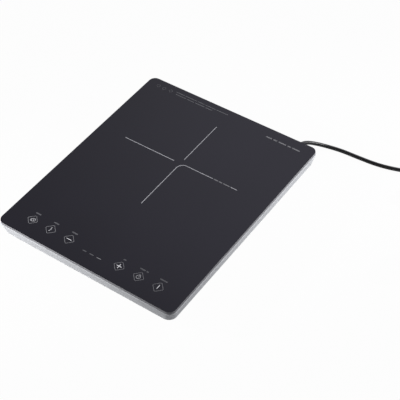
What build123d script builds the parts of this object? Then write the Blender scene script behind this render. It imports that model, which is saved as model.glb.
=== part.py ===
"""A portable single-zone induction cooktop with its housing, coil, fan, boards and mains cord.

Millimetres. The origin is on the table under the middle of the glass: +X right, +Y rear, +Z up.
"""

import os
from math import cos, radians, sin, tan

from build123d import *

os.makedirs("parts", exist_ok=True)

# Glass-ceramic plate
glass_w = 280.0
glass_d = 340.0
glass_t = 4.0
glass_r = 10.0
glass_arris = 0.5
total_h = 38.0
seat_z = total_h - glass_t

# Housing: each section is the glass outline set in by this much, with this corner radius
pan_z, pan_in, pan_r, pan_round = 5.0, 16.0, 10.0, 1.5
hem_z, hem_in, hem_r, hem_round = 10.0, 7.0, 12.0, 5.0
seam_z, seam_in, seam_r = 18.0, 3.0, 11.0
seam_groove = 0.35
lip_out, lip_r, lip_round = 0.7, 10.7, 0.6
wall = 2.5
floor_t = 2.5
floor_z = pan_z + floor_t
tongue_t = 1.2
tongue_h = 2.0
slip = 0.15
ledge_t = 2.5
ledge_in = 18.0
ledge_r = 24.0
bead_in, bead_w, bead_t = 3.0, 5.0, 0.3

# Screws that hold the housing, the boards, the coil, the fan and the cord clamp
screw_r = 1.4
screw_hole_r = 1.7
pilot_r = 1.5
head_r = 2.7
head_h = 1.8
lug_r = 6.5
boss_r = 4.0
well_r = 5.0
bore_r = 3.3
joint_z = 19.0
housing_head_z = 11.0
housing_screw_l = 17.0
corner_boss = (glass_w / 2 - pan_in - pan_r, glass_d / 2 - pan_in - pan_r)
side_boss_in = 23.2
side_boss_x = glass_w / 2 - side_boss_in
rear_boss_x, rear_boss_y = 60.0, glass_d / 2 - side_boss_in
boss_places = [(sx * corner_boss[0], sy * corner_boss[1]) for sx in (-1, 1) for sy in (-1, 1)]
boss_places += [(sx * side_boss_x, 0.0) for sx in (-1, 1)]
boss_places += [(sx * rear_boss_x, rear_boss_y) for sx in (-1, 1)]
pilot_l, screw_end = 9.0, 0.5

# Rubber feet, pushed into the floor of the base
foot_x, foot_y = glass_w / 2 - 42.0, glass_d / 2 - 44.0
foot_r, foot_tip_r = 10.0, 8.8
foot_ring_w, foot_lip_w, foot_hollow_h = 3.0, 0.8, 0.8
stem_r = 3.5
barb_r = 4.2
barb_h = 1.6
foot_fit = 0.05

# Air slots in the rear wall and under it
vent_count, vent_step, vent_w, vent_h = 15, 8.0, 3.2, 7.0
vent_z = pan_z + 4.0
under_vent_l, under_vent_y = 22.0, glass_d / 2 - 42.0

# Induction coil, under the middle of the printed cross
coil_x, coil_y = -1.3, 0.1338 * glass_d
winding_r_in, winding_r_out = 24.0, 86.0
turns = 7
turn_gap = 1.0
winding_t = 4.0
former_t = 2.5
former_rim = 2.0
former_r = winding_r_out + former_rim
window_share, window_w, window_r = 0.62, 14.0, 5.0
former_top = 29.0
former_z = former_top - former_t
ferrite_w, ferrite_t = 10.0, 4.0
ferrite_r_in, ferrite_r_out = winding_r_in + 4.0, winding_r_out - 4.0
ferrites = 6
rail_t, rail_h = 1.5, 2.5
ear_out = 4.5
ear_r = 6.0
mica_t = 0.8
mica_r = former_r + 2.0
sensor_r, sensor_flange_r = 6.0, 9.0
sensor_flange_t, sensor_cone, sensor_drop, sensor_edge = 1.2, 0.6, 1.5, 0.6
coil_post_r = 4.0
lead_r, thin_lead_r = 1.5, 1.1

# Control board under the keys
board_t = 1.6
key_y = -glass_d / 2 + 26.0
control_w, control_y0 = glass_w - 64.0, -glass_d / 2 + 16.0
control_y1 = control_y0 + 28.0
control_z = 24.0
control_top = control_z + board_t
control_post_x, control_post_y = control_w / 2 - 4.0, control_y1 - 8.0
control_post_r = 3.0
display_w, display_d, display_h = 30.0, 12.0, 7.0
led_y, led_r, led_gap = key_y - 4.2, 1.5, 1.0
led_xs = (-11.8, 0.0, 11.5)
leaf_w, leaf_t, leaf_l = 6.0, 0.4, 7.0
key_clear = 3.0
key_out = corner_boss[0] - lug_r - leaf_w / 2 - key_clear
key_xs = [round(share * key_out, 1) for share in (-1, -0.6995, -0.397, 0.399, 0.6995, 0.995)]

# Cooling fan, behind the control board and beside the left wall
fan_side, fan_t = 4 / 17 * glass_d, 15.0
fan_wall_gap, fan_gap = 18.0, 6.0
fan_x, fan_y = -glass_w / 2 + fan_wall_gap + fan_side / 2, control_y1 + fan_gap + fan_side / 2
fan_lift = 2.0
fan_z = floor_z + fan_lift
fan_bore_r = fan_side / 2 - 2.0
fan_corner_r = 4.0
fan_flange_t = 3.0
fan_hole = fan_side / 2 - 4.25
fan_post_r = 3.2
blade_r = fan_bore_r - 2.0
blade_camber = 1.6
blade_lap = 2.0
hub_r = 17.0
hub_t = 1.5
hub_lift = 1.0
blades = 7
blade_t = 1.2
blade_root, blade_tip = 13.5, 20.0
root_angle, tip_angle = 48.0, 30.0
base_disc_t = 2.0
arm_w = 3.5
shaft_r = 1.5
shaft_fit = 0.05
bearing_r, bearing_gap = 3.0, 1.5
tube_r = 4.2
magnet_r_in, magnet_gap = 13.4, 0.5
air_gap = 0.6
pole_t, pole_gap, pole_arm_w, stator_gap = 2.0, 3.0, 4.0, 2.0
grille_r, grille_rings, ring_step = fan_bore_r - 4.0, 5, 6.2
slot_w, spoke_w = 3.2, 3.0

# Main board, right of the fan and in front of the coil
board_side, board_rear = 28.0, 81.5
board_x0, board_x1 = fan_x + fan_side / 2 + fan_gap, glass_w / 2 - board_side
board_y0, board_y1 = control_y1, coil_y - board_rear
board_z = 11.5
board_top = board_z + board_t
board_in, board_r = 5.0, 2.0
board_post_r = 3.5

# Parts on the main board, placed from its right end, its rear edge and its front edge
mains_out, mains_in = 12.0, 6.0
mains_x = board_x1 - mains_out
mains_block_w, mains_block_d, mains_block_h = 20.0, 11.0, 12.0
fuse_out, fuse_deep = 6.0, 25.0
fuse_x, fuse_y = board_x1 - fuse_out, board_y1 - fuse_deep
fuse_l, fuse_r, cap_r, cap_l = 20.0, 2.3, 2.8, 5.0
choke_out, choke_deep = 19.0, 32.0
choke_x, choke_y = fuse_x - choke_out, board_y1 - choke_deep
choke_r_in, choke_r_out, choke_h, choke_round = 6.0, 14.0, 12.0, 1.5
capacitor_h, capacitor_r = 16.0, 1.5
power_cap_d, power_cap_deep = 32.0, 28.0
power_cap_y = board_y1 - power_cap_deep
smoothing_w, smoothing_out = 14.0, 24.0
resonant_w, resonant_out = 18.0, 18.0
smoothing_x = choke_x - smoothing_out
resonant_x = smoothing_x - resonant_out
filter_w, filter_d, filter_out, filter_front = 12.0, 22.0, 9.0, 20.0
filter_x, filter_y = board_x1 - filter_out, board_y0 + filter_front
front_row = 14.0
front_row_y = board_y0 + front_row
can_r, can_out, can_pitch = 5.0, 42.0, 12.0
can_xs = (board_x1 - can_out - can_pitch, board_x1 - can_out)
transformer_out, transformer_front = 26.0, 12.0
transformer_x, transformer_y = board_x1 - transformer_out, board_y0 + transformer_front
transformer_w, transformer_d, transformer_base, transformer_h = 19.0, 16.0, 4.0, 14.0
winding_w, winding_r, core_d = 15.0, 3.0, 6.0
buzzer_out, buzzer_r, buzzer_h, buzzer_hole_r, buzzer_deep = 67.0, 6.0, 7.5, 1.2, 1.5
buzzer_x = board_x1 - buzzer_out
sink_side, sink_end, sink_front, sink_rear = 6.0, 12.0, 14.0, 20.0
sink_x0, sink_x1 = board_x0 + sink_side, resonant_x - sink_end
sink_y0, sink_y1 = board_y0 + sink_front, board_y1 - sink_rear
sink_leg, sink_base, sink_top, sink_edge = 5.0, 4.0, 31.0, 3.0
fins, fin_t = 10, 1.6
igbt_w, igbt_d, rectifier_w, rectifier_d = 16.0, 21.0, 15.0, 20.0
package_in = 0.5
terminal_y, terminal_dx = board_y1 - 7.0, 10.0
terminal_w, terminal_h = 7.0, 6.0
socket_w, socket_d, socket_h = 5.0, 6.0, 7.0
fan_plug = (board_x0 + 3.5, board_y1 - 16.0)
sensor_plug = (coil_x + 25.3, board_y1 - 8.0)
ribbon_plug = (14.0, board_y0 + 6.0)
ribbon_w, ribbon_t, ribbon_drop, ribbon_rise = 14.0, 0.9, 10.0, 1.8
ribbon_socket_w, ribbon_socket_d = ribbon_w + 3.0, 5.0

# Mains cord and its entry, in a slot of the base that the frame closes
cord_r = 2.75
cord_fit = 0.05
neck_r = 4.0
entry_x, entry_z = glass_w / 2 - 39.0, seam_z - neck_r
relief_y0, relief_y1 = glass_d / 2 - 20.0, glass_d / 2 + 7.0
relief_flange_t, relief_flange_w = 2.0, 1.9
tail_r, tail_edge = 3.7, 0.8
clamp_y = glass_d / 2 - 62.0
clamp_post_dx, clamp_post_r, clamp_side, clamp_corner = 9.0, 3.2, 4.5, 2.0
clamp_t, clamp_l, clamp_lift = 3.0, 8.0, 1.0
wire_r, wire_step, wire_run, wire_up = 1.0, 1.25, 16.0, 6.0
wire_spread, wire_high, wire_low = 6.0, 0.9, 1.2

# Cord outside: places from the end of the strain relief, then a coil of its spare length
cord_lay = (
    (0.0, 10.5, entry_z),
    (5.6, 20.0, 12.4),
    (17.0, 28.7, 8.5),
    (33.0, 36.8, 4.0),
    (51.0, 40.8, cord_r),
    (75.0, 41.6, cord_r),
    (105.0, 43.4, cord_r),
    (132.0, 50.0, cord_r),
    (159.5, 61.3, cord_r),
)
coil_ring_x, coil_ring_y = entry_x + 201.0, relief_y1 + 34.5
turn_r_in, turn_r_out = 21.5, 39.0
ring_layers, ring_slack = 2, 0.1
layer_h = 2 * cord_r + ring_slack
ring_h = ring_layers * (layer_h + ring_slack)
join_angle = radians(110.0)
tie_t, tie_angle, tie_sweep, tie_foot_in = 0.6, radians(200.0), 20.0, 0.9

# Mains plug, lying on its rim beside the coil of cord
plug_r, plug_rim_l, plug_body_l, plug_l = 18.5, 15.0, 36.0, 58.0
plug_tail_r, plug_waist, plug_edge = 4.0, 2.5, 1.0
plug_x, plug_y = coil_ring_x + 36.0, coil_ring_y - 114.5
plug_run, plug_bend = 15.0, 41.0
pin_pitch, pin_r, pin_l, pin_round = 19.0, 2.4, 19.0, 1.6
groove_w, groove_t, groove_l = 6.0, 3.0, 24.0
clip_t, clip_side = 0.6, 0.5


def upright(x, y):
    """Plane through the vertical line at (x, y), with its own x along +X and its own y up."""
    return Plane(origin=(x, y, 0), x_dir=(1, 0, 0), z_dir=(0, -1, 0))


def vertical(x, y):
    """Vertical axis through (x, y)."""
    return Axis((x, y, 0), (0, 0, 1))


def flank_in(z):
    """Inset of the frame's outer face at height z, on the straight line from seam to lip."""
    return seam_in - (seam_in + lip_out) * (z - seam_z) / (seat_z - seam_z)


def turned(x, y, outline):
    """Solid turned about the vertical line at (x, y) from an outline of (radius, height) points."""
    with BuildPart() as piece:
        with BuildSketch(upright(x, y)):
            with BuildLine():
                Polyline(*outline, close=True)
            make_face()
        revolve(axis=vertical(x, y))
    return piece


def slab(places, w, d, z0, z1, corner=0.0):
    """Blocks w by d from height z0 to z1, one at each place, with round upright edges if asked."""
    with BuildPart() as piece:
        with BuildSketch(Plane.XY.offset(z0)):
            with Locations(*places):
                Rectangle(w, d)
        extrude(amount=z1 - z0)
        if corner:
            fillet(piece.edges().filter_by(Axis.Z), corner)
    return piece


def screws(places, seat, length, up=1):
    """Screws at the places, with the underside of each head at height seat and heads up or down."""
    with BuildPart() as group:
        with BuildSketch(Plane.XY.offset(seat)):
            with Locations(*places):
                Circle(head_r)
        extrude(amount=up * head_h)
        with BuildSketch(Plane.XY.offset(seat)):
            with Locations(*places):
                Circle(screw_r)
        extrude(amount=-up * length)
    return group


def bend_radii(points, share=0.45):
    """Radius at each corner of a route: a share of the shorter run beside it, over tan(half turn)."""
    route = [Vector(*p) for p in points]
    radii = []
    for before, at, after in zip(route, route[1:], route[2:]):
        run_in, run_out = at - before, after - at
        half_turn = radians(run_in.get_angle(run_out)) / 2
        radii.append(share * min(run_in.length, run_out.length) / tan(half_turn))
    return radii


def tube(points, radius):
    """Round tube along straight runs joined by tangent arcs."""
    with BuildPart() as piece:
        with BuildLine():
            route = FilletPolyline(*points, radius=bend_radii(points))
        with BuildSketch(Plane(origin=route @ 0, z_dir=route % 0)):
            Circle(radius)
        sweep()
    return piece


# ---------------------------------------------------------------- glass and its seal

with BuildPart() as glass_top:
    with BuildSketch(Plane.XY.offset(seat_z)):
        RectangleRounded(glass_w, glass_d, glass_r)
    extrude(amount=glass_t)
    chamfer(glass_top.faces().sort_by(Axis.Z)[-1].edges(), glass_arris)
glass_top.part.label = "glass_top"
export_step(glass_top.part, "parts/glass_top.step")

with BuildPart() as glass_sealant:
    with BuildSketch(Plane.XY.offset(seat_z - bead_t)):
        RectangleRounded(glass_w - 2 * bead_in, glass_d - 2 * bead_in, glass_r - bead_in)
        inner_in = bead_in + bead_w
        RectangleRounded(
            glass_w - 2 * inner_in, glass_d - 2 * inner_in, glass_r - bead_in, mode=Mode.SUBTRACT
        )
    extrude(amount=bead_t)
glass_sealant.part.label = "glass_sealant"
export_step(glass_sealant.part, "parts/glass_sealant.step")

# ---------------------------------------------------------------- upper frame

ledge_z = seat_z - ledge_t
with BuildPart() as upper_frame:
    for z, inset, corner in (
        (seam_z, seam_in + seam_groove, seam_r - seam_groove),
        (seam_z + seam_groove, flank_in(seam_z + seam_groove), seam_r),
        (seat_z, -lip_out, lip_r),
    ):
        with BuildSketch(Plane.XY.offset(z)):
            RectangleRounded(glass_w - 2 * inset, glass_d - 2 * inset, corner)
    loft(ruled=True)
    fillet(upper_frame.faces().sort_by(Axis.Z)[-1].edges(), lip_round)
    for z in (seam_z, ledge_z):
        inset = flank_in(z) + wall
        with BuildSketch(Plane.XY.offset(z)):
            RectangleRounded(glass_w - 2 * inset, glass_d - 2 * inset, seam_r - wall)
    loft(ruled=True, mode=Mode.SUBTRACT)
    with BuildSketch(Plane.XY.offset(ledge_z)):
        RectangleRounded(glass_w - 2 * ledge_in, glass_d - 2 * ledge_in, ledge_r)
    extrude(amount=ledge_t, mode=Mode.SUBTRACT)
    with BuildSketch(Plane.XY.offset(ledge_z)):
        with Locations(*boss_places):
            Circle(lug_r)
    extrude(amount=ledge_t)
    with BuildSketch(Plane.XY.offset(joint_z)):
        with Locations(*boss_places):
            Circle(boss_r)
    extrude(amount=ledge_z - joint_z)
    with BuildSketch(Plane.XY.offset(joint_z)):
        with Locations(*boss_places):
            Circle(pilot_r)
    extrude(amount=ledge_z - joint_z, mode=Mode.SUBTRACT)
    rebate_in = seam_in + wall - tongue_t - slip
    with BuildSketch(Plane.XY.offset(seam_z)):
        RectangleRounded(
            glass_w - 2 * rebate_in, glass_d - 2 * rebate_in, seam_r - rebate_in + seam_in
        )
        with Locations(*boss_places):
            Circle(boss_r, mode=Mode.SUBTRACT)
    extrude(amount=tongue_h + slip, mode=Mode.SUBTRACT)
    with BuildSketch(Plane.XY.offset(seat_z)):
        RectangleRounded(glass_w - 2 * bead_in, glass_d - 2 * bead_in, glass_r - bead_in)
        RectangleRounded(
            glass_w - 2 * inner_in, glass_d - 2 * inner_in, glass_r - bead_in, mode=Mode.SUBTRACT
        )
    extrude(amount=-bead_t, mode=Mode.SUBTRACT)
upper_frame.part.label = "upper_frame"
export_step(upper_frame.part, "parts/upper_frame.step")

# ---------------------------------------------------------------- base shell

ear_reach = former_r + ear_out
ear_places = [
    (coil_x + ear_reach * cos(radians(a)), coil_y + ear_reach * sin(radians(a)))
    for a in (45, 135, 225, 315)
]
fan_screw_places = [
    (fan_x + sx * fan_hole, fan_y + sy * fan_hole) for sx in (-1, 1) for sy in (-1, 1)
]
board_screw_places = [
    (board_x0 + board_in, board_y0 + board_in),
    (board_x1 - board_in, board_y0 + board_in),
    (board_x0 + board_in, board_y1 - board_in),
    (mains_x - 1.2 * mains_block_w, board_y1 - board_in),
]
control_screw_places = [(sx * control_post_x, control_post_y) for sx in (-1, 1)]
control_screw_places += [(sx * control_post_x / 2, control_post_y) for sx in (-1, 1)]
clamp_places = [(entry_x + sx * clamp_post_dx, clamp_y) for sx in (-1, 1)]
clamp_z = entry_z - cord_r - cord_fit
clamp_seat_z = entry_z + clamp_lift
foot_places = {
    "foot_front_left": (-foot_x, -foot_y),
    "foot_front_right": (foot_x, -foot_y),
    "foot_rear_left": (-foot_x, foot_y),
    "foot_rear_right": (foot_x, foot_y),
}
posts = (
    (ear_places, coil_post_r, former_z),
    (fan_screw_places, fan_post_r, fan_z),
    (board_screw_places, board_post_r, board_z),
    (control_screw_places, control_post_r, control_z),
    (clamp_places, clamp_post_r, clamp_seat_z),
)

with BuildPart() as base_shell:
    for z, inset, corner in (
        (pan_z, pan_in, pan_r),
        (hem_z, hem_in, hem_r),
        (seam_z - seam_groove, seam_in, seam_r),
        (seam_z, seam_in + seam_groove, seam_r - seam_groove),
    ):
        with BuildSketch(Plane.XY.offset(z)):
            RectangleRounded(glass_w - 2 * inset, glass_d - 2 * inset, corner)
    loft(ruled=True)
    fillet(base_shell.edges().filter_by_position(Axis.Z, hem_z - 0.1, hem_z + 0.1), hem_round)
    fillet(base_shell.faces().sort_by(Axis.Z)[0].edges(), pan_round)
    for z, inset, corner in (
        (floor_z, pan_in + 0.4 * wall, pan_r - 0.4 * wall),
        (hem_z + 0.4 * wall, hem_in + 1.2 * wall, hem_r - wall),
        (seam_z, seam_in + wall, seam_r - wall),
    ):
        with BuildSketch(Plane.XY.offset(z)):
            RectangleRounded(glass_w - 2 * inset, glass_d - 2 * inset, corner)
    loft(ruled=True, mode=Mode.SUBTRACT)
    tongue_in = seam_in + wall - tongue_t
    with BuildSketch(Plane.XY.offset(seam_z)):
        RectangleRounded(
            glass_w - 2 * tongue_in, glass_d - 2 * tongue_in, seam_r - tongue_in + seam_in
        )
        RectangleRounded(
            glass_w - 2 * (seam_in + wall),
            glass_d - 2 * (seam_in + wall),
            seam_r - wall,
            mode=Mode.SUBTRACT,
        )
    extrude(amount=tongue_h)
    with BuildSketch(Plane.XY.offset(floor_z - floor_t / 2)):
        with Locations(*boss_places):
            Circle(well_r)
    extrude(amount=joint_z - floor_z + floor_t / 2)
    with BuildSketch(Plane.XY.offset(pan_z)):
        with Locations(*boss_places):
            Circle(bore_r)
    extrude(amount=housing_head_z - pan_z, mode=Mode.SUBTRACT)
    with BuildSketch(Plane.XY.offset(pan_z)):
        with Locations(*boss_places):
            Circle(screw_hole_r)
    extrude(amount=joint_z - pan_z, mode=Mode.SUBTRACT)
    for places, radius, top in posts:
        with BuildSketch(Plane.XY.offset(floor_z - floor_t / 2)):
            with Locations(*places):
                Circle(radius)
        extrude(amount=top - floor_z + floor_t / 2)
        depth = min(pilot_l, top - floor_z)
        with BuildSketch(Plane.XY.offset(top)):
            with Locations(*places):
                Circle(pilot_r)
        extrude(amount=-depth, mode=Mode.SUBTRACT)
    with BuildSketch(Plane.XY.offset(floor_z - floor_t / 2)):
        with Locations((entry_x, clamp_y)):
            Rectangle(2 * (clamp_post_dx - clamp_side), clamp_l)
    extrude(amount=clamp_z - floor_z + floor_t / 2)
    with BuildSketch(Plane.XY.offset(pan_z)):
        with Locations(*foot_places.values()):
            Circle(stem_r + foot_fit)
    extrude(amount=floor_t, mode=Mode.SUBTRACT)
    with BuildSketch(Plane.XY.offset(pan_z)):
        with Locations((fan_x, fan_y)):
            for ring in range(grille_rings):
                middle = grille_r - ring * ring_step
                Circle(middle + slot_w / 2)
                Circle(middle - slot_w / 2, mode=Mode.SUBTRACT)
            with PolarLocations(0, 3, angular_range=180):
                Rectangle(2.5 * grille_r, spoke_w, mode=Mode.SUBTRACT)
    extrude(amount=floor_t, mode=Mode.SUBTRACT)
    with BuildSketch(Plane.XY.offset(vent_z)):
        with Locations((0, glass_d / 2)):
            with GridLocations(vent_step, 1, vent_count, 1):
                Rectangle(vent_w, 2 * pan_in)
    extrude(amount=vent_h, mode=Mode.SUBTRACT)
    with BuildSketch(Plane.XY.offset(pan_z)):
        with Locations((0, under_vent_y)):
            with GridLocations(vent_step, 1, vent_count, 1):
                Rectangle(vent_w, under_vent_l)
    extrude(amount=floor_t, mode=Mode.SUBTRACT)
    slot_top = seam_z + tongue_h
    with BuildSketch(Plane.XZ.offset(-relief_y0)):
        with Locations((entry_x, entry_z)):
            Circle(neck_r + slip)
        with Locations((entry_x, (entry_z + slot_top) / 2)):
            Rectangle(2 * (neck_r + slip), slot_top - entry_z)
    extrude(amount=-(relief_y1 - relief_y0), mode=Mode.SUBTRACT)
base_shell.part.label = "base_shell"
export_step(base_shell.part, "parts/base_shell.step")

housing_screws = screws(boss_places, housing_head_z, housing_screw_l, up=-1)
housing_screws.part.label = "housing_screws"
export_step(housing_screws.part, "parts/housing_screws.step")

for foot_name, (x, y) in foot_places.items():
    foot = turned(
        x,
        y,
        (
            (0, foot_hollow_h),
            (foot_tip_r - foot_ring_w, foot_hollow_h),
            (foot_tip_r - foot_ring_w + foot_lip_w, 0),
            (foot_tip_r, 0),
            (foot_r, pan_z),
            (stem_r, pan_z),
            (stem_r, floor_z + foot_fit),
            (barb_r, floor_z + foot_fit),
            (stem_r - foot_lip_w, floor_z + barb_h),
            (0, floor_z + barb_h),
        ),
    )
    foot.part.label = foot_name
    export_step(foot.part, f"parts/{foot_name}.step")

# ---------------------------------------------------------------- induction coil

former_hole = sensor_r + slip
pitch = (winding_r_out - winding_r_in + turn_gap) / (turns + 1)
band = pitch - turn_gap
lead_ys = (coil_y - winding_r_in - band / 2, coil_y - winding_r_out + band / 2)
ferrite_mid = (ferrite_r_in + ferrite_r_out) / 2
with BuildPart() as coil_former:
    with BuildSketch(Plane.XY.offset(former_z)):
        with Locations((coil_x, coil_y)):
            Circle(former_r)
        with Locations(*ear_places):
            Circle(ear_r)
        with Locations((coil_x, coil_y)):
            with PolarLocations(ferrite_mid, ferrites, start_angle=180 / ferrites):
                window_l = window_share * (ferrite_r_out - ferrite_r_in)
                RectangleRounded(window_l, window_w, window_r, mode=Mode.SUBTRACT)
            Circle(former_hole, mode=Mode.SUBTRACT)
        with Locations(*ear_places):
            Circle(screw_hole_r, mode=Mode.SUBTRACT)
        with Locations(*[(coil_x, y) for y in lead_ys]):
            Circle(lead_r + slip, mode=Mode.SUBTRACT)
    extrude(amount=former_t)
    with BuildSketch(Plane.XY.offset(former_z)):
        with Locations((coil_x, coil_y)):
            with PolarLocations(ferrite_mid, ferrites):
                for side in (-1, 1):
                    with Locations((0, side * (ferrite_w + rail_t + 2 * slip) / 2)):
                        Rectangle(ferrite_r_out - ferrite_r_in, rail_t)
    extrude(amount=-rail_h)
coil_former.part.label = "coil_former"
export_step(coil_former.part, "parts/coil_former.step")

coil_plane = Plane(origin=(coil_x, coil_y, former_top), x_dir=(0, -1, 0), z_dir=(0, 0, 1))
with BuildPart() as coil_winding:
    with BuildSketch(coil_plane):
        with BuildLine():
            edges_of_band = []
            for half_turn in range(2 * turns):
                side = 1 if half_turn % 2 else -1
                middle = winding_r_in + band / 2 + pitch / 4 + half_turn * pitch / 2
                for out in (-1, 1):
                    edges_of_band.append(
                        CenterArc(
                            (side * pitch / 4, 0),
                            middle + out * band / 2,
                            180 if half_turn % 2 else 0,
                            180,
                        )
                    )
            Line(edges_of_band[0] @ 0, edges_of_band[1] @ 0)
            Line(edges_of_band[-2] @ 1, edges_of_band[-1] @ 1)
        make_face()
    extrude(amount=winding_t)
coil_winding.part.label = "coil_winding"
export_step(coil_winding.part, "parts/coil_winding.step")

with BuildPart() as ferrite_bars:
    with BuildSketch(Plane.XY.offset(former_z)):
        with Locations((coil_x, coil_y)):
            with PolarLocations(ferrite_mid, ferrites):
                Rectangle(ferrite_r_out - ferrite_r_in, ferrite_w)
    extrude(amount=-ferrite_t)
ferrite_bars.part.label = "ferrite_bars"
export_step(ferrite_bars.part, "parts/ferrite_bars.step")

winding_top = former_top + winding_t
with BuildPart() as mica_sheet:
    with BuildSketch(Plane.XY.offset(winding_top)):
        with Locations((coil_x, coil_y)):
            Circle(mica_r)
            Circle(sensor_flange_r + slip, mode=Mode.SUBTRACT)
    extrude(amount=mica_t)
mica_sheet.part.label = "mica_sheet"
export_step(mica_sheet.part, "parts/mica_sheet.step")

pan_sensor = turned(
    coil_x,
    coil_y,
    (
        (0, former_z - sensor_drop),
        (sensor_r, former_z - sensor_drop),
        (sensor_r, former_top),
        (sensor_flange_r, former_top),
        (sensor_flange_r, former_top + sensor_flange_t),
        (sensor_r, former_top + sensor_flange_t + sensor_cone),
        (sensor_r, seat_z - sensor_edge),
        (sensor_r - sensor_edge, seat_z),
        (0, seat_z),
    ),
)
pan_sensor.part.label = "pan_sensor"
export_step(pan_sensor.part, "parts/pan_sensor.step")

coil_screws = screws(ear_places, former_top, pilot_l)
coil_screws.part.label = "coil_screws"
export_step(coil_screws.part, "parts/coil_screws.step")

# ---------------------------------------------------------------- cooling fan

fan_top = fan_z + fan_t
disc_z = fan_top - base_disc_t
hub_z = fan_z + hub_lift
hub_rim_z = disc_z - air_gap
bearing_z = hub_z + hub_t + bearing_gap
with BuildPart() as fan_frame:
    for z in (fan_z, fan_top - fan_flange_t):
        with BuildSketch(Plane.XY.offset(z)):
            with Locations((fan_x, fan_y)):
                RectangleRounded(fan_side, fan_side, fan_corner_r)
                Circle(fan_bore_r, mode=Mode.SUBTRACT)
            with Locations(*fan_screw_places):
                Circle(screw_hole_r, mode=Mode.SUBTRACT)
        extrude(amount=fan_flange_t)
    with BuildSketch(Plane.XY.offset(fan_z + fan_flange_t)):
        with Locations((fan_x, fan_y)):
            Circle(fan_side / 2)
            Circle(fan_bore_r, mode=Mode.SUBTRACT)
    extrude(amount=fan_t - 2 * fan_flange_t)
    with BuildSketch(Plane.XY.offset(disc_z)):
        with Locations((fan_x, fan_y)):
            Circle(hub_r)
            with PolarLocations(0, 4, start_angle=45):
                with Locations(((hub_r + fan_bore_r) / 2, 0)):
                    Rectangle(fan_bore_r - hub_r + arm_w, arm_w)
    extrude(amount=base_disc_t)
    with BuildSketch(Plane.XY.offset(bearing_z)):
        with Locations((fan_x, fan_y)):
            Circle(tube_r)
    extrude(amount=disc_z - bearing_z)
    with BuildSketch(Plane.XY.offset(bearing_z)):
        with Locations((fan_x, fan_y)):
            Circle(bearing_r)
    extrude(amount=disc_z - bearing_z, mode=Mode.SUBTRACT)
fan_frame.part.label = "fan_frame"
export_step(fan_frame.part, "parts/fan_frame.step")

blade_mid_z = (hub_z + hub_rim_z) / 2
with BuildPart() as blade:
    for reach, chord, angle in (
        (hub_r - blade_lap / 2, blade_root, root_angle),
        (blade_r + blade_lap, blade_tip, tip_angle),
    ):
        section_plane = Plane(
            origin=(fan_x + reach, fan_y, blade_mid_z), x_dir=(0, 1, 0), z_dir=(1, 0, 0)
        )
        with BuildSketch(section_plane.rotated((0, 0, angle))):
            with BuildLine():
                ThreePointArc((-chord / 2, 0), (0, blade_camber + blade_t), (chord / 2, 0))
                ThreePointArc((-chord / 2, 0), (0, blade_camber), (chord / 2, 0))
            make_face()
    loft()

with BuildPart() as fan_rotor:
    with BuildSketch(Plane.XY.offset(hub_z)):
        with Locations((fan_x, fan_y)):
            Circle(hub_r)
    extrude(amount=hub_rim_z - hub_z)
    blade_turn = Location((fan_x, fan_y, 0))
    for turn in range(blades):
        spin = blade_turn * Rotation(0, 0, turn * 360 / blades) * blade_turn.inverse()
        add(blade.part.moved(spin))
    with BuildSketch(Plane.XY.offset(hub_z)):
        with Locations((fan_x, fan_y)):
            Circle(blade_r)
    extrude(amount=hub_rim_z - hub_z, mode=Mode.INTERSECT)
    with BuildSketch(Plane.XY.offset(hub_z + hub_t)):
        with Locations((fan_x, fan_y)):
            Circle(hub_r - hub_t)
    extrude(amount=hub_rim_z - hub_z - hub_t, mode=Mode.SUBTRACT)
    with BuildSketch(Plane.XY.offset(hub_z)):
        with Locations((fan_x, fan_y)):
            Circle(shaft_r)
    extrude(amount=hub_t, mode=Mode.SUBTRACT)
fan_rotor.part.label = "fan_rotor"
export_step(fan_rotor.part, "parts/fan_rotor.step")

with BuildPart() as fan_magnet:
    with BuildSketch(Plane.XY.offset(hub_z + hub_t)):
        with Locations((fan_x, fan_y)):
            Circle(hub_r - hub_t)
            Circle(magnet_r_in, mode=Mode.SUBTRACT)
    extrude(amount=hub_rim_z - hub_z - hub_t - magnet_gap)
fan_magnet.part.label = "fan_magnet"
export_step(fan_magnet.part, "parts/fan_magnet.step")

with BuildPart() as fan_shaft:
    with BuildSketch(Plane.XY.offset(hub_z)):
        with Locations((fan_x, fan_y)):
            Circle(shaft_r)
    extrude(amount=disc_z - hub_z - air_gap)
fan_shaft.part.label = "fan_shaft"
export_step(fan_shaft.part, "parts/fan_shaft.step")

with BuildPart() as fan_bearing:
    with BuildSketch(Plane.XY.offset(bearing_z)):
        with Locations((fan_x, fan_y)):
            Circle(bearing_r)
            Circle(shaft_r + shaft_fit, mode=Mode.SUBTRACT)
    extrude(amount=disc_z - bearing_z)
fan_bearing.part.label = "fan_bearing"
export_step(fan_bearing.part, "parts/fan_bearing.step")

pole_r = magnet_r_in - air_gap
with BuildPart() as fan_stator:
    with BuildSketch(Plane.XY.offset(hub_z + hub_t + stator_gap)):
        with Locations((fan_x, fan_y)):
            Circle(pole_r)
            Circle(pole_r - pole_t, mode=Mode.SUBTRACT)
            with PolarLocations(0, 4):
                Rectangle(pole_gap, 2 * pole_r, mode=Mode.SUBTRACT)
            with PolarLocations(0, 2, start_angle=45, angular_range=180):
                Rectangle(2 * pole_r - pole_t, pole_arm_w)
            Circle(tube_r + pole_t)
            Circle(tube_r, mode=Mode.SUBTRACT)
    extrude(amount=disc_z - hub_z - hub_t - stator_gap)
fan_stator.part.label = "fan_stator"
export_step(fan_stator.part, "parts/fan_stator.step")

fan_screws = screws(fan_screw_places, fan_top, fan_t + fan_lift - screw_end)
fan_screws.part.label = "fan_screws"
export_step(fan_screws.part, "parts/fan_screws.step")

# ---------------------------------------------------------------- main board

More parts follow.
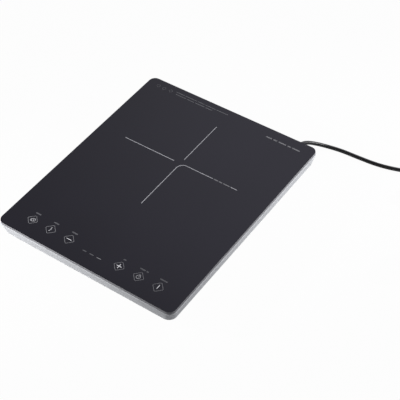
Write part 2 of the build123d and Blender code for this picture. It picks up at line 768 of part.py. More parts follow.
board_mid = ((board_x0 + board_x1) / 2, (board_y0 + board_y1) / 2)
with BuildPart() as main_board:
    with BuildSketch(Plane.XY.offset(board_z)):
        with Locations(board_mid):
            RectangleRounded(board_x1 - board_x0, board_y1 - board_y0, board_r)
        with Locations(*board_screw_places):
            Circle(screw_hole_r, mode=Mode.SUBTRACT)
    extrude(amount=board_t)
main_board.part.label = "main_board"
export_step(main_board.part, "parts/main_board.step")

sink_z = board_top + sink_leg
sink_mid = (sink_y0 + sink_y1) / 2
with BuildPart() as heatsink:
    with BuildSketch(Plane.YZ.offset(sink_x0)):
        with Locations((sink_mid, sink_z + sink_base / 2)):
            Rectangle(sink_y1 - sink_y0, sink_base)
        with Locations((sink_mid, (sink_z + sink_base + sink_top) / 2)):
            with GridLocations((sink_y1 - sink_y0 - fin_t) / (fins - 1), 1, fins, 1):
                Rectangle(fin_t, sink_top - sink_z - sink_base)
        for y in (sink_y0 + sink_edge / 2, sink_y1 - sink_edge / 2):
            with Locations((y, (board_top + sink_z) / 2)):
                Rectangle(sink_edge, sink_leg)
    extrude(amount=sink_x1 - sink_x0)
heatsink.part.label = "heatsink"
export_step(heatsink.part, "parts/heatsink.step")

igbt_x = sink_x0 + package_in + igbt_w / 2
igbt = slab([(igbt_x, sink_mid)], igbt_w, igbt_d, board_top, sink_z)
igbt.part.label = "igbt"
export_step(igbt.part, "parts/igbt.step")

rectifier_x = sink_x1 - package_in - rectifier_w / 2
bridge_rectifier = slab([(rectifier_x, sink_mid)], rectifier_w, rectifier_d, board_top, sink_z)
bridge_rectifier.part.label = "bridge_rectifier"
export_step(bridge_rectifier.part, "parts/bridge_rectifier.step")

capacitor_top = board_top + capacitor_h
resonant_capacitor = slab(
    [(resonant_x, power_cap_y)], resonant_w, power_cap_d, board_top, capacitor_top, capacitor_r
)
resonant_capacitor.part.label = "resonant_capacitor"
export_step(resonant_capacitor.part, "parts/resonant_capacitor.step")

smoothing_capacitor = slab(
    [(smoothing_x, power_cap_y)], smoothing_w, power_cap_d, board_top, capacitor_top, capacitor_r
)
smoothing_capacitor.part.label = "smoothing_capacitor"
export_step(smoothing_capacitor.part, "parts/smoothing_capacitor.step")

filter_capacitor = slab(
    [(filter_x, filter_y)], filter_w, filter_d, board_top, capacitor_top, capacitor_r
)
filter_capacitor.part.label = "filter_capacitor"
export_step(filter_capacitor.part, "parts/filter_capacitor.step")

choke = turned(
    choke_x,
    choke_y,
    (
        (choke_r_in + choke_round, board_top),
        (choke_r_out - choke_round, board_top),
        (choke_r_out, board_top + choke_round),
        (choke_r_out, board_top + choke_h - choke_round),
        (choke_r_out - choke_round, board_top + choke_h),
        (choke_r_in + choke_round, board_top + choke_h),
        (choke_r_in, board_top + choke_h - choke_round),
        (choke_r_in, board_top + choke_round),
    ),
)
choke.part.label = "choke"
export_step(choke.part, "parts/choke.step")

with BuildPart() as fuse:
    with BuildSketch(Plane.XZ.offset(-fuse_y)):
        with Locations((fuse_x, board_top + cap_r)):
            Circle(fuse_r)
    extrude(amount=fuse_l / 2, both=True)
    for end in (-1, 1):
        with BuildSketch(Plane.XZ.offset(-fuse_y + end * (fuse_l - cap_l) / 2)):
            with Locations((fuse_x, board_top + cap_r)):
                Circle(cap_r)
        extrude(amount=cap_l / 2, both=True)
fuse.part.label = "fuse"
export_step(fuse.part, "parts/fuse.step")

with BuildPart() as electrolytic_capacitors:
    with BuildSketch(Plane.XY.offset(board_top)):
        with Locations(*[(x, front_row_y) for x in can_xs]):
            Circle(can_r)
    extrude(amount=capacitor_h)
electrolytic_capacitors.part.label = "electrolytic_capacitors"
export_step(electrolytic_capacitors.part, "parts/electrolytic_capacitors.step")

with BuildPart() as switching_transformer:
    with BuildSketch(Plane.XY.offset(board_top)):
        with Locations((transformer_x, transformer_y)):
            Rectangle(transformer_w, transformer_d)
    extrude(amount=transformer_base)
    with BuildSketch(Plane.XY.offset(board_top + transformer_base)):
        with Locations((transformer_x, transformer_y)):
            RectangleRounded(winding_w, transformer_d, winding_r)
            Rectangle(transformer_w, core_d)
    extrude(amount=transformer_h - transformer_base)
switching_transformer.part.label = "switching_transformer"
export_step(switching_transformer.part, "parts/switching_transformer.step")

terminal_xs = (coil_x - terminal_dx, coil_x + terminal_dx)
terminal_top = board_top + terminal_h
coil_terminals = slab(
    [(x, terminal_y) for x in terminal_xs], terminal_w, terminal_w, board_top, terminal_top
)
coil_terminals.part.label = "coil_terminals"
export_step(coil_terminals.part, "parts/coil_terminals.step")

buzzer = turned(
    buzzer_x,
    front_row_y,
    (
        (0, board_top),
        (buzzer_r, board_top),
        (buzzer_r, board_top + buzzer_h),
        (buzzer_hole_r, board_top + buzzer_h),
        (buzzer_hole_r, board_top + buzzer_h - buzzer_deep),
        (0, board_top + buzzer_h - buzzer_deep),
    ),
)
buzzer.part.label = "buzzer"
export_step(buzzer.part, "parts/buzzer.step")

mains_block = (mains_x, board_y1 - mains_in)
with BuildPart() as board_connectors:
    with BuildSketch(Plane.XY.offset(board_top)):
        with Locations(mains_block):
            Rectangle(mains_block_w, mains_block_d)
    extrude(amount=mains_block_h)
    with BuildSketch(Plane.XY.offset(board_top)):
        with Locations(sensor_plug, fan_plug):
            Rectangle(socket_w, socket_d)
        with Locations(ribbon_plug):
            Rectangle(ribbon_socket_w, ribbon_socket_d)
    extrude(amount=socket_h)
board_connectors.part.label = "board_connectors"
export_step(board_connectors.part, "parts/board_connectors.step")

clamp_top = entry_z + cord_r + clamp_t
with BuildPart() as board_screws:
    add(screws(board_screw_places, board_top, board_top - floor_z - screw_end).part)
    add(screws(control_screw_places, control_top, pilot_l).part)
    add(screws(clamp_places, clamp_top, clamp_top - floor_z - 2 * screw_end).part)
board_screws.part.label = "board_screws"
export_step(board_screws.part, "parts/board_screws.step")

# ---------------------------------------------------------------- control board and keys

control_mid_y = (control_y0 + control_y1) / 2
with BuildPart() as control_board:
    with BuildSketch(Plane.XY.offset(control_z)):
        with Locations((0, control_mid_y)):
            Rectangle(control_w, control_y1 - control_y0)
        with Locations(*control_screw_places):
            Circle(screw_hole_r, mode=Mode.SUBTRACT)
    extrude(amount=board_t)
control_board.part.label = "control_board"
export_step(control_board.part, "parts/control_board.step")

for number, x in enumerate(key_xs, start=1):
    with BuildPart() as touch_contact:
        with BuildSketch(Plane.YZ.offset(x - leaf_w / 2)):
            with BuildLine():
                low, high = control_top + leaf_t / 2, seat_z - leaf_t / 2
                foot_run = Line((key_y - leaf_l / 2, low), (key_y, low))
                rise = Line((key_y, high), (key_y - leaf_l / 2, high))
                middle_z = (low + high) / 2
                ThreePointArc(foot_run @ 1, (key_y + leaf_l / 2, middle_z), rise @ 0)
                offset(amount=leaf_t / 2)
            make_face()
        extrude(amount=leaf_w)
    touch_contact.part.label = f"touch_contact_{number}"
    export_step(touch_contact.part, f"parts/touch_contact_{number}.step")

digit_display = slab(
    [(0.0, control_post_y)], display_w, display_d, control_top, control_top + display_h
)
digit_display.part.label = "digit_display"
export_step(digit_display.part, "parts/digit_display.step")

with BuildPart() as indicator_leds:
    with BuildSketch(Plane.XY.offset(control_top)):
        with Locations(*[(x, led_y) for x in led_xs]):
            Circle(led_r)
    extrude(amount=seat_z - led_gap - control_top)
indicator_leds.part.label = "indicator_leds"
export_step(indicator_leds.part, "parts/indicator_leds.step")

# ---------------------------------------------------------------- inner wiring

ribbon_low, ribbon_over = board_top + socket_h, board_top + socket_h + ribbon_rise
ribbon_y0, ribbon_y1 = ribbon_plug[1], ribbon_plug[1] - ribbon_drop
with BuildPart() as ribbon_cable:
    with BuildSketch(Plane.YZ.offset(ribbon_plug[0] - ribbon_w / 2)):
        with BuildLine():
            FilletPolyline(
                (ribbon_y0, ribbon_low),
                (ribbon_y0, ribbon_over),
                (ribbon_y1, ribbon_over),
                (ribbon_y1, control_z),
                radius=ribbon_t,
            )
        trace(line_width=ribbon_t)
    extrude(amount=ribbon_w)
ribbon_cable.part.label = "ribbon_cable"
export_step(ribbon_cable.part, "parts/ribbon_cable.step")

lead_z = former_z - ferrite_t / 2
with BuildPart() as coil_leads:
    for x, y in zip(terminal_xs, lead_ys):
        lead = tube(
            (
                (coil_x, y, former_top),
                (coil_x, y, lead_z),
                (x, terminal_y, lead_z),
                (x, terminal_y, terminal_top),
            ),
            lead_r,
        )
        add(lead.part)
coil_leads.part.label = "coil_leads"
export_step(coil_leads.part, "parts/coil_leads.step")

sensor_low = board_top + socket_h / 2
sensor_socket_y = sensor_plug[1] + socket_d / 2
fan_corner_y = fan_y + fan_side / 2 - fan_flange_t
fan_lead_z = fan_top - fan_flange_t / 2
with BuildPart() as signal_leads:
    sensor_lead = tube(
        (
            (coil_x, coil_y, former_z - sensor_drop),
            (coil_x, coil_y, sensor_low),
            (sensor_plug[0], coil_y - winding_r_in, sensor_low),
            (sensor_plug[0], sensor_socket_y, sensor_low),
        ),
        thin_lead_r,
    )
    add(sensor_lead.part)
    fan_lead = tube(
        (
            (fan_x + fan_side / 2, fan_corner_y, fan_lead_z),
            (fan_plug[0], fan_corner_y, fan_lead_z),
            (fan_plug[0], fan_plug[1], fan_lead_z),
            (fan_plug[0], fan_plug[1], board_top + socket_h),
        ),
        thin_lead_r,
    )
    add(fan_lead.part)
signal_leads.part.label = "signal_leads"
export_step(signal_leads.part, "parts/signal_leads.step")

inner_cord_y = clamp_y - clamp_l
wire_z = board_top + wire_up
mains_face_y = mains_block[1] + mains_block_d / 2
with BuildPart() as supply_wires:
    for wire in (-1, 0, 1):
        start_z = entry_z + (wire_high if wire else -wire_low)
        strand = tube(
            (
                (entry_x + wire * wire_step, inner_cord_y, start_z),
                (entry_x + wire * wire_step, inner_cord_y - wire_run, start_z),
                (mains_x + wire * wire_spread, mains_face_y + wire_run, wire_z),
                (mains_x + wire * wire_spread, mains_face_y, wire_z),
            ),
            wire_r,
        )
        add(strand.part)
supply_wires.part.label = "supply_wires"
export_step(supply_wires.part, "parts/supply_wires.step")

# ---------------------------------------------------------------- cord entry

wall_y1 = glass_d / 2 - flank_in(entry_z + neck_r + relief_flange_w) + 2 * slip
with BuildPart() as strain_relief:
    with BuildSketch(Plane((entry_x, 0, entry_z), x_dir=(1, 0, 0), z_dir=(0, 0, 1))):
        with BuildLine():
            Polyline(
                (cord_r + cord_fit, relief_y0),
                (neck_r + relief_flange_w, relief_y0),
                (neck_r + relief_flange_w, relief_y0 + relief_flange_t),
                (neck_r, relief_y0 + relief_flange_t),
                (neck_r, wall_y1),
                (neck_r + relief_flange_w, wall_y1),
                (neck_r + relief_flange_w, wall_y1 + relief_flange_t),
                (tail_r + tail_edge, wall_y1 + relief_flange_t),
                (tail_r, relief_y1),
                (cord_r + cord_fit, relief_y1),
                close=True,
            )
        make_face()
    revolve(axis=Axis((entry_x, 0, entry_z), (0, 1, 0)))
strain_relief.part.label = "strain_relief"
export_step(strain_relief.part, "parts/strain_relief.step")

with BuildPart() as inner_cord:
    with BuildSketch(Plane.XZ.offset(-inner_cord_y)):
        with Locations((entry_x, entry_z)):
            Circle(cord_r)
    extrude(amount=-(relief_y1 - inner_cord_y))
inner_cord.part.label = "inner_cord"
export_step(inner_cord.part, "parts/inner_cord.step")

clamp_w = 2 * (clamp_post_dx + clamp_side)
with BuildPart() as cord_clamp:
    with BuildSketch(Plane.XZ.offset(-clamp_y)):
        with Locations((entry_x, (clamp_seat_z + clamp_top) / 2)):
            Rectangle(clamp_w, clamp_top - clamp_seat_z)
        with Locations((entry_x, entry_z)):
            Circle(cord_r + cord_fit, mode=Mode.SUBTRACT)
    extrude(amount=clamp_l / 2, both=True)
    with BuildSketch(Plane.XY.offset(clamp_seat_z)):
        with Locations(*clamp_places):
            Circle(screw_hole_r)
    extrude(amount=clamp_top - clamp_seat_z, mode=Mode.SUBTRACT)
    fillet(cord_clamp.edges().filter_by(Axis.Z).sort_by(Axis.X)[0:2], clamp_corner)
    fillet(cord_clamp.edges().filter_by(Axis.Z).sort_by(Axis.X)[-2:], clamp_corner)
cord_clamp.part.label = "cord_clamp"
export_step(cord_clamp.part, "parts/cord_clamp.step")

# ---------------------------------------------------------------- cord outside, coiled at its far end

supply_route = [(entry_x, relief_y1, entry_z)]
supply_route += [(entry_x + dx, relief_y1 + dy, z) for dx, dy, z in cord_lay]
supply_route.append(
    (
        coil_ring_x + turn_r_out * cos(join_angle),
        coil_ring_y + turn_r_out * sin(join_angle),
        cord_r,
    )
)
supply_cord = tube(supply_route, cord_r)
supply_cord.part.label = "supply_cord"
export_step(supply_cord.part, "parts/supply_cord.step")

bundle_mid, bundle_w = (turn_r_in + turn_r_out) / 2, turn_r_out - turn_r_in + 2 * cord_r
tie_plane = Plane(
    (coil_ring_x, coil_ring_y, ring_h / 2),
    x_dir=(cos(tie_angle), sin(tie_angle), 0),
    z_dir=(sin(tie_angle), -cos(tie_angle), 0),
)
tie_foot_w, tie_foot_z = bundle_w - 2 * tie_foot_in, (tie_t - ring_h) / 2
with BuildPart() as cord_coil:
    with BuildSketch(Plane.XZ.offset(-coil_ring_y)):
        with Locations((coil_ring_x + bundle_mid, ring_h / 2)):
            RectangleRounded(bundle_w, ring_h, cord_r)
    revolve(axis=vertical(coil_ring_x, coil_ring_y))
    with BuildSketch(tie_plane):
        with Locations((bundle_mid, tie_foot_z)):
            Rectangle(tie_foot_w, tie_t)
    revolve(
        axis=vertical(coil_ring_x, coil_ring_y), revolution_arc=tie_sweep, mode=Mode.SUBTRACT
    )
cord_coil.part.label = "cord_coil"
export_step(cord_coil.part, "parts/cord_coil.step")

# The tie runs round the turns and under them, where they stand on it
with BuildPart() as cord_tie:
    with BuildSketch(tie_plane):
        with Locations((bundle_mid, tie_t / 2)):
            RectangleRounded(bundle_w + 2 * tie_t, ring_h + tie_t, cord_r + tie_t)
        with Locations((bundle_mid, 0)):
            RectangleRounded(bundle_w, ring_h, cord_r, mode=Mode.SUBTRACT)
        with Locations((bundle_mid, tie_foot_z)):
            Rectangle(tie_foot_w, tie_t)
    revolve(axis=vertical(coil_ring_x, coil_ring_y), revolution_arc=tie_sweep)
cord_tie.part.label = "cord_tie"
export_step(cord_tie.part, "parts/cord_tie.step")

# ---------------------------------------------------------------- mains plug, lying on its rim

plug_plane = Plane(origin=(plug_x, plug_y, plug_r), x_dir=(1, 0, 0), z_dir=(0, 1, 0))
plug_axis = Axis(plug_plane.origin, plug_plane.z_dir)
with BuildPart() as plug_body:
    with BuildSketch(Plane(origin=plug_plane.origin, x_dir=(1, 0, 0), z_dir=(0, 0, 1))):
        with BuildLine():
            face_edge = Polyline((0, 0), (plug_r, 0), (plug_r, plug_rim_l))
            shoulder = ThreePointArc(
                face_edge @ 1, (0.82 * plug_r, 0.72 * plug_body_l), (plug_tail_r + plug_waist, plug_body_l)
            )
            Polyline(shoulder @ 1, (plug_tail_r, plug_l), (0, plug_l), (0, 0))
        make_face()
    revolve(axis=plug_axis)
    fillet(plug_body.edges().filter_by_position(Axis.Y, plug_y - 0.1, plug_y + 0.1), plug_edge)
    with BuildSketch(plug_plane):
        for side in (-1, 1):
            with Locations((0, side * (plug_r - groove_t / 2))):
                Rectangle(groove_w, groove_t)
    extrude(amount=groove_l, mode=Mode.SUBTRACT)
plug_body.part.label = "plug_body"
export_step(plug_body.part, "parts/plug_body.step")

with BuildPart() as plug_contacts:
    with BuildSketch(plug_plane):
        with Locations((-pin_pitch / 2, 0), (pin_pitch / 2, 0)):
            Circle(pin_r)
    extrude(amount=-pin_l)
    fillet(plug_contacts.faces().sort_by(Axis.Y)[0:2].edges(), pin_round)
    with BuildSketch(plug_plane):
        for side in (-1, 1):
            with Locations((0, side * (plug_r - groove_t + clip_t / 2))):
                Rectangle(groove_w - 2 * clip_side, clip_t)
    extrude(amount=groove_l)
plug_contacts.part.label = "plug_contacts"
export_step(plug_contacts.part, "parts/plug_contacts.step")

lead_x = coil_ring_x + turn_r_out
lead_route = (
    (lead_x, coil_ring_y, ring_h - layer_h / 2),
    (lead_x, coil_ring_y - plug_run, ring_h - layer_h / 2),
    (plug_x, coil_ring_y - plug_bend, plug_r),
    (plug_x, plug_y + plug_l, plug_r),
)
plug_lead = tube(lead_route, cord_r)
plug_lead.part.label = "plug_lead"
export_step(plug_lead.part, "parts/plug_lead.step")

print("cord bend radii", [round(r) for r in bend_radii(supply_route) + bend_radii(lead_route)])
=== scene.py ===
# %% [markdown]
# # A portable induction cooktop
# This lesson dresses a low glass-topped hob: a black glass plate with printed keys on a
# silver housing, its cord and plug, and the parts inside. The shapes of the housing come
# from the CAD frame. This script adds the camera, the cord, the print on the glass and
# the finish of every piece.

# %% Load the frame
import math

import bmesh
import bpy
from mathutils import Matrix, Vector


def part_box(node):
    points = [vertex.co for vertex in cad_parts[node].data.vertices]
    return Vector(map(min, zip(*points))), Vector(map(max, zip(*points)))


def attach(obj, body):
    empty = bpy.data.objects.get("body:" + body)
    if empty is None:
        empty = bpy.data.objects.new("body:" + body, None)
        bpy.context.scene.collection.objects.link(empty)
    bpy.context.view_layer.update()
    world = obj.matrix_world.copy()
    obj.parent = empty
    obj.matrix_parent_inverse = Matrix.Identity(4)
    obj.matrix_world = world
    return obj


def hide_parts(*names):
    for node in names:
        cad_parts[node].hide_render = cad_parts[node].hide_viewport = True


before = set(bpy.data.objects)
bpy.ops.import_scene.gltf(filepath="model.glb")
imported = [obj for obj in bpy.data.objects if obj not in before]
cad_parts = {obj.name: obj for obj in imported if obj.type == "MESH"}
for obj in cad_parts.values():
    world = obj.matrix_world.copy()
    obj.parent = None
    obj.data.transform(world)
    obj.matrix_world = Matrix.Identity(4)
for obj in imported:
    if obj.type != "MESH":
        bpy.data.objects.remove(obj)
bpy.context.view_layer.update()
MM = 0.001

# %% [markdown]
# ## Camera
# The plate is seen from above, over its front right corner. A long lens a metre and a half
# away keeps its edges nearly parallel. The lens has no shift and no depth of field, so every
# other view can use it too.

# %% Camera
camera_place = (0.68853, -0.83109, 1.14715)
camera_turn_deg = (43.283, 1.77, 35.095)
camera_data = bpy.data.cameras.new("camera")
camera_data.lens = 104.75
camera_data.sensor_width = 36.0
camera = bpy.data.objects.new("camera", camera_data)
camera.location = camera_place
camera.rotation_euler = [math.radians(a) for a in camera_turn_deg]
bpy.context.scene.collection.objects.link(camera)
bpy.context.scene.camera = camera
print("camera", round(camera.location.length, 3), "m from the origin")

# %% [markdown]
# ## Mains cord
# The cord is a three-core lead of 5.5 mm with a glossy black sheath. It leaves the rear
# through its boot, drops to the table in one easy curve and runs off to the right. The
# rest of its length is wound flat for storage in two layers of turns, held by a tie. One
# NURBS curve of order 3 makes it all: its control points pull the line smoothly, and the
# turns of the coil are more points of the same line.

# %% Route of the cord
cord_r = 2.75 * MM
cord_exit = Vector((101.0, 177.0, 14.0)) * MM
# Steps right and back from the exit, and the height over the table, in millimetres.
cord_lay = (
    (0.0, 10.5, 14.0),
    (5.6, 20.0, 12.4),
    (17.0, 28.7, 8.5),
    (33.0, 36.8, 4.0),
    (51.0, 40.8, 2.75),
    (75.0, 41.6, 2.75),
    (105.0, 43.4, 2.75),
    (132.0, 50.0, 2.75),
    (159.5, 61.3, 2.75),
)
route = [cord_exit.copy()]
for dx, dy, z in cord_lay:
    route.append(Vector((cord_exit.x + dx * MM, cord_exit.y + dy * MM, z * MM)))

# The coil: inwards on the table, up one layer at the smallest turn, and out again.
ring = Vector((302.0, 211.5, 0.0)) * MM
inner_turn, outer_turn = 21.5 * MM, 39.0 * MM
layer = 5.6 * MM
join_deg = 110.0
turns = 6 + join_deg / 360
per_turn = 24
climb_turns = 0.24
reach = 1.0065  # control points stand a little outside the line that they pull
for step in range(round(turns * per_turn) + 1):
    wound = step / per_turn
    radius = inner_turn + (outer_turn - inner_turn) * abs(1 - 2 * wound / turns)
    climb = min(1.0, max(0.0, (wound - turns / 2 + climb_turns / 2) / climb_turns))
    angle = math.radians(join_deg - 360 * wound)
    across = Vector((math.cos(angle), math.sin(angle), 0)) * radius * reach
    route.append(ring + across + Vector((0, 0, cord_r + layer * climb)))

# From the coil up into the plug, which lies beside it.
plug_lay = (
    (341.0, 196.5, 8.4),
    (338.9, 176.0, 14.5),
    (338.0, 165.0, 18.2),
    (338.0, 155.0, 18.5),
)
for spot in plug_lay:
    route.append(Vector(spot) * MM)

# %% Cord
cord_curve = bpy.data.curves.new("mains_cord", "CURVE")
cord_curve.dimensions = "3D"
cord_curve.bevel_depth = 1.0
cord_curve.bevel_resolution = 8
cord_curve.use_fill_caps = True
cord_curve.resolution_u = 6
line = cord_curve.splines.new("NURBS")
line.points.add(len(route) - 1)
for point, place in zip(line.points, route):
    point.co = (*place, 1.0)
    point.radius = cord_r
line.order_u = 3
line.use_endpoint_u = True
cord = bpy.data.objects.new("mains_cord", cord_curve)
bpy.context.scene.collection.objects.link(cord)
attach(cord, "cooktop")
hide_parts("supply_cord", "cord_coil", "plug_lead")
print("cord:", len(route), "control points")

# %% [markdown]
# ## Stage and light
# The hob lies on a plain white table. The table's own colour is white to the camera, and
# a share of real shading keeps the soft contact shadow. It has one side only: from below
# it is clear, so that the underside can be looked at. Two spots with soft rims light the
# silver flanks, one near the left end and one near the rear end, and each fades along its
# flank as it does on satin metal paint. A softbox high on the right puts a line of gloss
# on the cord, and another lights the underside. The sky is dim over the front left and
# lighter over the rear right, and the glass shows that as a soft gradient.

# %% Table
table_half = 4.0
glow_share, glow_in_gloss = 0.975, 0.06
table_mesh = bmesh.new()
bmesh.ops.create_grid(table_mesh, x_segments=2, y_segments=2, size=table_half)
table_data = bpy.data.meshes.new("table")
table_mesh.to_mesh(table_data)
table_mesh.free()
table = bpy.data.objects.new("table", table_data)
bpy.context.scene.collection.objects.link(table)

table_finish = bpy.data.materials.new("table_white")
table_finish.use_nodes = True
nodes, links = table_finish.node_tree.nodes, table_finish.node_tree.links
nodes.clear()
out = nodes.new("ShaderNodeOutputMaterial")
both = nodes.new("ShaderNodeMixShader")
seen = nodes.new("ShaderNodeLightPath")
direct = nodes.new("ShaderNodeMath")
direct.operation = "MULTIPLY"
direct.inputs[1].default_value = glow_share
share = nodes.new("ShaderNodeMath")
share.operation = "MULTIPLY_ADD"
share.inputs[1].default_value = glow_in_gloss
plain = nodes.new("ShaderNodeBsdfDiffuse")
plain.inputs["Color"].default_value = (0.36, 0.36, 0.37, 1)
white = nodes.new("ShaderNodeEmission")
white.inputs["Strength"].default_value = 1.0
links.new(seen.outputs["Is Camera Ray"], direct.inputs[0])
links.new(seen.outputs["Is Glossy Ray"], share.inputs[0])
links.new(direct.outputs[0], share.inputs[2])
links.new(share.outputs[0], both.inputs["Fac"])
links.new(plain.outputs[0], both.inputs[1])
links.new(white.outputs[0], both.inputs[2])
clear = nodes.new("ShaderNodeBsdfTransparent")
side = nodes.new("ShaderNodeNewGeometry")
under = nodes.new("ShaderNodeMath")
under.operation = "MULTIPLY"
open_to = nodes.new("ShaderNodeMath")
open_to.operation = "MAXIMUM"
one_sided = nodes.new("ShaderNodeMixShader")
links.new(side.outputs["Backfacing"], under.inputs[0])
links.new(seen.outputs["Is Camera Ray"], under.inputs[1])
links.new(under.outputs[0], open_to.inputs[0])
links.new(seen.outputs["Is Shadow Ray"], open_to.inputs[1])
links.new(open_to.outputs[0], one_sided.inputs["Fac"])
links.new(both.outputs[0], one_sided.inputs[1])
links.new(clear.outputs[0], one_sided.inputs[2])
links.new(one_sided.outputs[0], out.inputs["Surface"])
table_data.materials.append(table_finish)

# %% World
sky_side = (0.5, 0.86, 0.0)
sky_dark, sky_light, sky_reach = 0.12, 0.6, 0.36
world = bpy.data.worlds.new("studio")
bpy.context.scene.world = world
world.use_nodes = True
nodes, links = world.node_tree.nodes, world.node_tree.links
nodes.clear()
out = nodes.new("ShaderNodeOutputWorld")
both = nodes.new("ShaderNodeMixShader")
seen = nodes.new("ShaderNodeLightPath")
dim = nodes.new("ShaderNodeBackground")
dim.inputs["Color"].default_value = (0.97, 0.97, 1.0, 1)
sky = nodes.new("ShaderNodeTexCoord")
apart = nodes.new("ShaderNodeVectorMath")
apart.operation = "DOT_PRODUCT"
apart.inputs[1].default_value = sky_side
fade = nodes.new("ShaderNodeMapRange")
fade.interpolation_type = "SMOOTHSTEP"
fade.inputs["From Min"].default_value = 0.0
fade.inputs["From Max"].default_value = sky_reach
fade.inputs["To Min"].default_value = sky_dark
fade.inputs["To Max"].default_value = sky_light
links.new(sky.outputs["Generated"], apart.inputs[0])
links.new(apart.outputs["Value"], fade.inputs["Value"])
links.new(fade.outputs["Result"], dim.inputs["Strength"])
bright = nodes.new("ShaderNodeBackground")
bright.inputs["Color"].default_value = (0.985, 0.985, 0.99, 1)
bright.inputs["Strength"].default_value = 1.0
links.new(seen.outputs["Is Camera Ray"], both.inputs["Fac"])
links.new(dim.outputs[0], both.inputs[1])
links.new(bright.outputs[0], both.inputs[2])
links.new(both.outputs[0], out.inputs["Surface"])
bpy.context.scene.view_settings.view_transform = "Standard"


# %% Lamps
bulb_r = 0.03


def hang(lamp, place, aim):
    """Puts a lamp at place and turns its beam to aim."""
    lamp_object = bpy.data.objects.new(lamp.name, lamp)
    lamp_object.visible_camera = False
    lamp_object.location = place
    look = Vector(aim) - Vector(place)
    lamp_object.rotation_euler = look.to_track_quat("-Z", "Y").to_euler()
    bpy.context.scene.collection.objects.link(lamp_object)
    return lamp_object


def softbox(name, place, aim, size, watts):
    """A square panel of even light."""
    lamp = bpy.data.lights.new(name, "AREA")
    lamp.shape = "SQUARE"
    lamp.size = size
    lamp.energy = watts
    hang(lamp, place, aim)


def edge_spot(name, place, aim, beam, watts):
    """A spot whose beam fades from its middle to its rim, and leaves no glint."""
    lamp = bpy.data.lights.new(name, "SPOT")
    lamp.spot_size = math.radians(beam)
    lamp.spot_blend = 1.0
    lamp.shadow_soft_size = bulb_r
    lamp.energy = watts
    hang(lamp, place, aim).visible_glossy = False


edge_spot("left_spot", (-0.7, -0.6, 0.4), (-0.15, -0.17, 0.02), 36.0, 67.0)
edge_spot("rear_spot", (0.75, 0.75, 0.4), (0.14, 0.21, 0.02), 40.0, 54.0)
softbox("gloss_softbox", (0.9, 0.6, 1.6), (0.1, 0.1, 0.0), 0.5, 6.2)
softbox("low_softbox", (-0.35, 0.55, -0.85), (0.0, 0.0, 0.0), 0.9, 2.9)
print("four lamps")

# %% [markdown]
# ## Finishes
# Most surfaces here are moulded plastic, rubber, plated steel and board material. Each is
# a Principled shader whose colour wanders a little with a broad noise, whose roughness
# wanders with a finer one, and whose grain is a bump. They read Object coordinates, so
# the pattern keeps its real size on every piece.


# %% Helper for a finish
drift_low, drift_high = 0.3, 0.7
rough_drift, least_rough = 0.05, 0.02


def finish(
    name, colour, rough, metal=0.0, vary=0.12, broad=60.0, grain=900.0, depth=0.03, **sockets
):
    """A material with a broad colour drift, a roughness drift and a fine grain."""
    made = bpy.data.materials.new(name)
    made.use_nodes = True
    tree = made.node_tree
    shader = tree.nodes["Principled BSDF"]
    shader.inputs["Metallic"].default_value = metal
    for socket, value in sockets.items():
        shader.inputs[socket.replace("_", " ")].default_value = value
    place = tree.nodes.new("ShaderNodeTexCoord")
    drift = tree.nodes.new("ShaderNodeTexNoise")
    drift.inputs["Scale"].default_value = broad
    drift.inputs["Detail"].default_value = 4.0
    tree.links.new(place.outputs["Object"], drift.inputs["Vector"])
    ramp = tree.nodes.new("ShaderNodeValToRGB")
    ramp.color_ramp.elements[0].position = drift_low
    ramp.color_ramp.elements[1].position = drift_high
    ramp.color_ramp.elements[0].color = [c * (1 - vary) for c in colour] + [1]
    ramp.color_ramp.elements[1].color = [min(1, c * (1 + vary)) for c in colour] + [1]
    tree.links.new(drift.outputs["Fac"], ramp.inputs["Fac"])
    tree.links.new(ramp.outputs["Color"], shader.inputs["Base Color"])
    fine = tree.nodes.new("ShaderNodeTexNoise")
    fine.inputs["Scale"].default_value = grain
    fine.inputs["Detail"].default_value = 3.0
    tree.links.new(place.outputs["Object"], fine.inputs["Vector"])
    spread = tree.nodes.new("ShaderNodeMapRange")
    spread.inputs["To Min"].default_value = max(least_rough, rough - rough_drift)
    spread.inputs["To Max"].default_value = min(1.0, rough + rough_drift)
    tree.links.new(fine.outputs["Fac"], spread.inputs["Value"])
    tree.links.new(spread.outputs["Result"], shader.inputs["Roughness"])
    bump = tree.nodes.new("ShaderNodeBump")
    bump.inputs["Strength"].default_value = 0.5
    bump.inputs["Distance"].default_value = depth * MM
    tree.links.new(fine.outputs["Fac"], bump.inputs["Height"])
    tree.links.new(bump.outputs["Normal"], shader.inputs["Normal"])
    return made


def node_of(material, kind):
    """The first node of a kind in a material."""
    return next(n for n in material.node_tree.nodes if n.type == kind)


def wear(material, *node_names):
    """Gives CAD pieces their finish."""
    for node_name in node_names:
        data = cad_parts[node_name].data
        data.materials.clear()
        data.materials.append(material)


# %% [markdown]
# ## Silver housing
# The housing is moulded plastic with a satin silver paint. Paint of this kind holds fine
# metal flakes: a tight cell noise tilts the surface very slightly and gives it the
# sparkle, and the shader is only partly metallic, so it keeps a soft grey body.

# %% Silver paint
silver = finish(
    "silver_paint", (0.585, 0.595, 0.615), 0.45, metal=0.25, vary=0.03, broad=30.0,
    grain=1400.0, depth=0.002,
)
place, grain_bump = node_of(silver, "TEX_COORD"), node_of(silver, "BUMP")
tree = silver.node_tree
flakes = tree.nodes.new("ShaderNodeTexVoronoi")
flakes.inputs["Scale"].default_value = 3200.0
tree.links.new(place.outputs["Object"], flakes.inputs["Vector"])
flake_bump = tree.nodes.new("ShaderNodeBump")
flake_bump.inputs["Strength"].default_value = 0.015
flake_bump.inputs["Distance"].default_value = 0.02 * MM
tree.links.new(flakes.outputs["Distance"], flake_bump.inputs["Height"])
tree.links.new(flake_bump.outputs["Normal"], grain_bump.inputs["Normal"])
wear(silver, "upper_frame", "base_shell")

